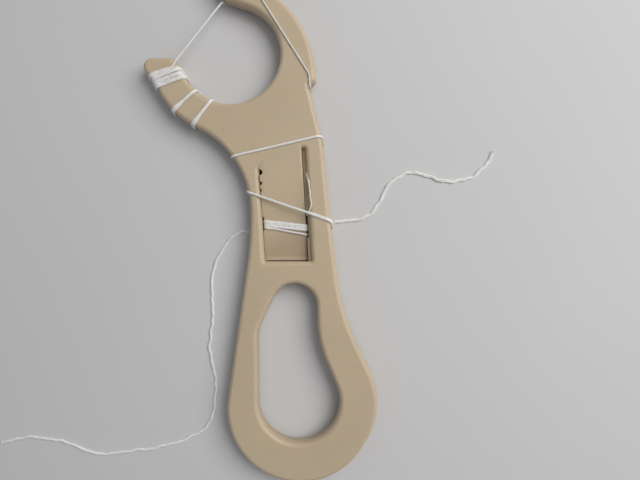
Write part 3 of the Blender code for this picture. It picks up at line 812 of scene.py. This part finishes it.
def fibre_paths(points, look, seed, form, frays):
    """Twisted fibres round the points, in a bundle as wide and thick as its form says.

    Two thirds of the fibres lie outside, the others within. Frays are the lengths at the start
    and the end in which the fibres stop one by one. A fibre has None in place of the points that
    it doesn't reach.
    """
    rng = random.Random(seed)
    thread = look.width * THREAD_SHARE
    outer = look.fibres * 2 // 3
    inner = look.fibres - outer
    spots = [(1.0, math.tau * number / outer) for number in range(outer)]
    spots += [(INNER_RING, math.tau * number / inner) for number in range(inner)]
    directions = outward_directions(points)
    tangents = []
    for index in range(len(points)):
        ahead, behind = points[min(index + 1, len(points) - 1)], points[max(index - 1, 0)]
        tangents.append((ahead - behind).normalized())
    paths = []
    for number, (place_out, phase) in enumerate(spots):
        wander = rng.uniform(0, 100)
        first = round(frays[0] * number / (len(spots) - 1) / SPACING)
        last = len(points) - 1 - round(frays[1] * rng.random() / SPACING)
        path = []
        for index, (point, tangent, outward) in enumerate(zip(points, tangents, directions)):
            along = index * SPACING
            side = tangent.cross(outward).normalized()
            normal = side.cross(tangent)
            spread = noise.noise(Vector((along * LOOSE_WAVES + wander, wander, 0)))
            loose = 1 + look.looseness * spread
            for length, away in ((frays[0], index), (frays[1], len(points) - 1 - index)):
                if length:
                    loose += FRAY_SPREAD * max(0.0, 1 - away * SPACING / length) ** 2
            turn = phase + math.tau * along / look.pitch
            turn += TWIST_UNEVEN * noise.noise(Vector((along * TWIST_WAVES, wander, 3)))
            width, thickness = form(index)
            offset = side * math.cos(turn) * (width * look.width / 2 - thread)
            offset += normal * math.sin(turn) * (thickness * look.width / 2 - thread)
            spot = point + offset * place_out * loose
            spot.z = max(spot.z, thread)
            path.append(spot if first <= index <= last else None)
        paths.append(path)
    return paths, thread


def fibre_mesh(name, paths, thread):
    """One mesh of thin tubes that follow the paths."""
    curve = bpy.data.curves.new(name, "CURVE")
    curve.dimensions = "3D"
    curve.bevel_depth = thread
    curve.bevel_resolution = 1
    curve.use_fill_caps = True
    for path in paths:
        spline = curve.splines.new("POLY")
        spline.points.add(len(path) - 1)
        for point, place in zip(spline.points, path):
            point.co = (*place, 1.0)
    holder = bpy.data.objects.new(name, curve)
    bpy.context.scene.collection.objects.link(holder)
    bpy.context.view_layer.update()
    graph = bpy.context.evaluated_depsgraph_get()
    mesh = bpy.data.meshes.new_from_object(holder.evaluated_get(graph))
    shape = bmesh.new()
    shape.from_mesh(mesh)
    bmesh.ops.remove_doubles(shape, verts=shape.verts, dist=FIBRE_WELD)
    bpy.data.objects.remove(holder, do_unlink=True)
    bpy.data.curves.remove(curve)
    bpy.data.meshes.remove(mesh)
    return shape


def lay_pieces(points, paths, thread, marks, pieces, material):
    """Cuts the fibres at the marks and makes one piece of each stretch."""
    bounds = [0] + marks + [len(points) - 1]
    made = []
    for (name, node, body), start, end in zip(pieces, bounds, bounds[1:]):
        stretch = [[spot for spot in path[start : end + 1] if spot] for path in paths]
        shape = fibre_mesh(name, [path for path in stretch if len(path) > 1], thread)
        made.append(new_piece(name, shape, material, body, node, FIBRE_SMOOTH))
    return made


# Operators


class FLOSS_OT_holder_body(bpy.types.Operator):
    """Builds the moulded plate with its handle loop, fork and window"""

    bl_idname = "floss.holder_body"
    bl_label = "Holder Body"

    def execute(self, context):
        look = context.scene.holder_look
        material = moulded_ivory(look.colour)
        shape = merged_copy("holder_body")
        self.web_right_wall(shape)
        plate = new_piece(
            "moulded_plate", shape, material, "holder", "holder_body"
        )
        even_normals(plate.data)
        return {"FINISHED"}

    @staticmethod
    def web_right_wall(shape):
        """Adds the thin web that the mould leaves along the window's right wall, under its rim."""

        def place(vert):
            from_root = vert.co.xy - TONGUE_ROOT
            return from_root.dot(ACROSS), from_root.dot(DOWN)

        def on_wall(vert):
            sideways, down = place(vert)
            return WALL_INNER < sideways < WALL_OUTER and WALL_TOP < down < WALL_BOTTOM

        cuts = [(Vector((0, 0, PLATE_HIGH.z - depth)), Vector((0, 0, 1))) for depth in WEB_DEPTHS]
        for down in (*WEB_STOPS[0], *WEB_STOPS[1]):
            cuts.append((plan_point(0, down).to_3d(), DOWN.to_3d()))
        for point, normal in cuts:
            wall = [face for face in shape.faces if all(on_wall(vert) for vert in face.verts)]
            edges = {edge for face in wall for edge in face.edges}
            verts = {vert for face in wall for vert in face.verts}
            bmesh.ops.bisect_plane(
                shape,
                geom=[*verts, *edges, *wall],
                plane_co=point,
                plane_no=normal,
            )
        for vert in shape.verts:
            if on_wall(vert) and PLATE_HIGH.z - vert.co.z > sum(WEB_DEPTHS) / 2:
                sideways, down = place(vert)
                by_turns = sum(WEB_STOPS[0]) / 2 < down < sum(WEB_STOPS[1]) / 2
                face = TONGUE_WIDTH / 2 + (WEB_GAP_BY_TURNS if by_turns else WEB_GAP)
                vert.co -= (ACROSS * max(0.0, min(SLIT_WIDTH, sideways - face))).to_3d()


class FLOSS_OT_clamp_tongue(bpy.types.Operator):
    """Builds the springy tongue, which grows out of the plate at its slanted root"""

    bl_idname = "floss.clamp_tongue"
    bl_label = "Clamp Tongue"

    def execute(self, context):
        look = context.scene.holder_look
        shape = bmesh.new()
        bmesh.ops.create_grid(
            shape, x_segments=TONGUE_GRID[0], y_segments=TONGUE_GRID[1], size=1.0
        )
        left_edge = -0.999
        for vert in shape.verts:
            across, share = vert.co.x, (1 - vert.co.y) / 2
            sideways = across * (TONGUE_WIDTH / 2)
            start = TONGUE_BURIED - sideways * ACROSS.dot(ROOT_NORMAL)
            start /= DOWN.dot(ROOT_NORMAL)
            end = (TONGUE_END_Y - END_STRETCH - TONGUE_ROOT.y - sideways * ACROSS.y) / DOWN.y
            down = start + (end - start) * share
            if across < left_edge:
                sideways -= self.flash_width(down, look.flash)
            flat = plan_point(sideways, down)
            lip = max(0.0, down - end + LIP_LENGTH) * LIP_RISE
            vert.co = (flat.x, flat.y, self.height(-(flat - TONGUE_ROOT).dot(ROOT_NORMAL)) + lip)
        whole = shape.faces[:] + shape.edges[:] + shape.verts[:]
        skin = bmesh.ops.extrude_face_region(shape, geom=whole)
        lower = [item for item in skin["geom"] if isinstance(item, bmesh.types.BMVert)]
        bmesh.ops.translate(shape, verts=lower, vec=(0, 0, -TONGUE_THICKNESS))
        bmesh.ops.recalc_face_normals(shape, faces=shape.faces)
        upright_below = 0.5
        corners = [
            edge
            for edge in shape.edges
            if len(edge.link_faces) == 2
            and sum(abs(face.normal.z) < upright_below for face in edge.link_faces) == 1
        ]
        bmesh.ops.bevel(
            shape,
            geom=corners,
            offset=CORNER_BEVEL,
            offset_type="OFFSET",
            segments=3,
            profile=0.5,
            affect="EDGES",
            material=-1,
            clamp_overlap=True,
        )
        material = bpy.data.materials["moulded_ivory"]
        piece = new_piece("sprung_tongue", shape, material, None, "clamp_tongue")
        start = TONGUE_ROOT + ROOT_NORMAL * BLEND_START * MM
        end = TONGUE_ROOT - ROOT_NORMAL * BLEND_END * MM
        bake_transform(piece)
        return {"FINISHED"}

    @staticmethod
    def height(below):
        """The tongue's face curves down out of the plate and then runs straight."""
        sunk = 0.0
        if below > BEND_LENGTH:
            sunk = FALL * (below - BEND_LENGTH / 2)
        elif below > 0:
            sunk = FALL * below**2 / (2 * BEND_LENGTH)
        return PLATE_HIGH.z - FACE_INSET - sunk

    @staticmethod
    def flash_width(down, widest):
        """How far the ragged flash reaches over the left slit."""
        place, row = down / MM, 4.2
        ragged = noise.noise(Vector((place * FLASH_WAVES, row, 0)))
        width = FLASH_SHARE + FLASH_RAGGED * ragged
        for hole, reach, depth in FLASH_HOLES:
            nearness = max(0.0, 1 - ((place - hole) / reach) ** 2)
            width -= depth * math.sqrt(nearness)
        return widest * max(0.0, min(1.0, width))


class FLOSS_OT_working_floss(bpy.types.Operator):
    """Winds the working length: arm turns, taut span, neck bands and right tail"""

    bl_idname = "floss.working_floss"
    bl_label = "Working Floss"

    def execute(self, context):
        look = context.scene.floss_look
        material = waxed_fibre(look.colour)
        winder = Winder(STRAND_REACH)
        route, joins = working_length(winder)
        points = respaced(route)
        marks = []
        for join in joins:
            marks.append(nearest(points, join, marks[-1] if marks else 0))
        _, head, arm, neck, tail = marks
        points = kinked(points, tail, len(points) - 1)
        fans = []
        for outer, _ in LOOSE_LOOPS:
            fan = nearest(points, winder.corner(winder.arm(outer, True), winder.front))
            fans += [fan - FAN_POINTS, fan + FAN_POINTS]
        tight = nearest(points, winder.corner(winder.arm(WINDING_OUTER[1], True), winder.back))
        thinner = nearest(points, winder.level(WINDING_EXIT), tight) - SPAN_LEAD
        last_edge = winder.corner(winder.neck(LOWER_BAND_RIGHT[0], True), winder.front)
        wider = nearest(points, last_edge, neck) - BAND_END_LEAD
        form = form_along(
            [*fans, tight, thinner, head, arm, neck, wider, tail],
            [
                LOOPS, FAN, LOOPS, FAN, LOOPS, WINDING, SPAN, HEAD_TURN, ARM_STRAND, NECK_BANDS,
                BAND_END, TAIL,
            ],
        )
        paths, thread = fibre_paths(points, look, WORKING_SEED, form, WORKING_FRAYS)
        pieces = [
            ("arm_winding", "floss_left_arm_turns", "holder"),
            ("taut_span", "floss_span", "holder"),
            ("head_turns", "floss_right_arm_turn", "holder"),
            ("arm_strand", "floss_arm_strand", "holder"),
            ("neck_bands", "floss_neck_bands", "holder"),
            ("right_tail", "floss_right_tail", "holder"),
        ]
        made = lay_pieces(points, paths, thread, marks, pieces, material)
        return {"FINISHED"}


class FLOSS_OT_clamped_floss(bpy.types.Operator):
    """Winds the clamped length: three turns round the tongue and the left tail"""

    bl_idname = "floss.clamped_floss"
    bl_label = "Clamped Floss"

    def execute(self, context):
        look = context.scene.floss_look
        material = bpy.data.materials["waxed_fibre"]
        route, join = clamped_length(STRAND_REACH)
        points = respaced(route)
        tail = nearest(points, join)
        level = TONGUE_THICKNESS / 2 + STRAND_REACH
        lone = nearest(points, tongue_point(-TONGUE_WIDTH / 2, TONGUE_TURNS[-1][0] * MM, level))
        under = nearest(points, tongue_point(0, TONGUE_UNDER * MM, -level))
        form = form_along([under, lone, tail], [FRAY, RIBBON, LONE_TURN, THIN_TAIL])
        points = kinked(points, tail, len(points) - 1)
        points = kinked(points, 0, under - FRAY_TRIM)
        paths, thread = fibre_paths(points, look, CLAMPED_SEED, form, CLAMPED_FRAYS)
        pieces = [
            ("tongue_winding", "floss_tongue_turns", "tongue"),
            ("left_tail", "floss_left_tail", "holder"),
        ]
        made = lay_pieces(points, paths, thread, [tail], pieces, material)
        return {"FINISHED"}


class FLOSS_OT_stage(bpy.types.Operator):
    """Sets the paper, the soft window light and the camera above the holder"""

    bl_idname = "floss.stage"
    bl_label = "Stage"

    def execute(self, context):
        look = context.scene.stage_look
        shape = bmesh.new()
        bmesh.ops.create_grid(shape, x_segments=1, y_segments=1, size=PAPER_REACH)
        mesh = bpy.data.meshes.new("paper")
        shape.to_mesh(mesh)
        shape.free()
        mesh.materials.append(plain_paper(look.paper))
        floor = bpy.data.objects.new("paper", mesh)
        context.scene.collection.objects.link(floor)

        world = bpy.data.worlds.new("room")
        world.use_nodes = True
        air = world.node_tree.nodes["Background"]
        air.inputs["Color"].default_value = ROOM_TINT
        air.inputs["Strength"].default_value = look.room
        context.scene.world = world

        window = bpy.data.lights.new("window", "AREA")
        window.shape = "RECTANGLE"
        window.size, window.size_y = WINDOW_SIZE, WINDOW_SIZE
        window.energy = look.window
        window.color = WINDOW_TINT
        lamp = bpy.data.objects.new("window", window)
        lamp.location = WINDOW_PLACE
        aim = Vector(WINDOW_AIM) - Vector(lamp.location)
        lamp.rotation_euler = aim.to_track_quat("-Z", "Y").to_euler()
        context.scene.collection.objects.link(lamp)

        camera = bpy.data.cameras.new("camera")
        camera.lens = LENS
        camera.sensor_width = SENSOR
        camera.clip_start = CLIP_START
        viewer = bpy.data.objects.new("camera", camera)
        viewer.location = CAMERA_PLACE
        context.scene.collection.objects.link(viewer)
        context.scene.camera = viewer
        context.scene.view_settings.view_transform = "Standard"
        return {"FINISHED"}


class FLOSS_PT_panel(bpy.types.Panel):
    """Lists the holder's pieces and their looks"""

    bl_label = "Floss Holder"
    bl_idname = "FLOSS_PT_panel"
    bl_space_type = "VIEW_3D"
    bl_region_type = "UI"
    bl_category = "Floss Holder"

    def draw(self, context):
        scene = context.scene
        for look in (scene.holder_look, scene.floss_look, scene.stage_look):
            box = self.layout.box()
            for name in look.bl_rna.properties.keys():
                if name not in ("rna_type", "name"):
                    box.prop(look, name)
        for operator in OPERATORS:
            self.layout.operator(operator.bl_idname)


OPERATORS = (
    FLOSS_OT_stage,
    FLOSS_OT_working_floss,
    FLOSS_OT_clamped_floss,
    FLOSS_OT_holder_body,
    FLOSS_OT_clamp_tongue,
)
LOOKS = (("holder_look", HolderLook), ("floss_look", FlossLook), ("stage_look", StageLook))


def register():
    for name, look in LOOKS:
        bpy.utils.register_class(look)
        setattr(bpy.types.Scene, name, bpy.props.PointerProperty(type=look))
    for operator in OPERATORS:
        bpy.utils.register_class(operator)
    bpy.utils.register_class(FLOSS_PT_panel)


def unregister():
    bpy.utils.unregister_class(FLOSS_PT_panel)
    for operator in reversed(OPERATORS):
        bpy.utils.unregister_class(operator)
    for name, look in reversed(LOOKS):
        delattr(bpy.types.Scene, name)
        bpy.utils.unregister_class(look)


def main():
    register()
    bpy.ops.floss.stage()
    bpy.ops.floss.working_floss()
    bpy.ops.floss.clamped_floss()
    bpy.ops.floss.holder_body()
    bpy.ops.floss.clamp_tongue()


if __name__ == "__main__":
    main()
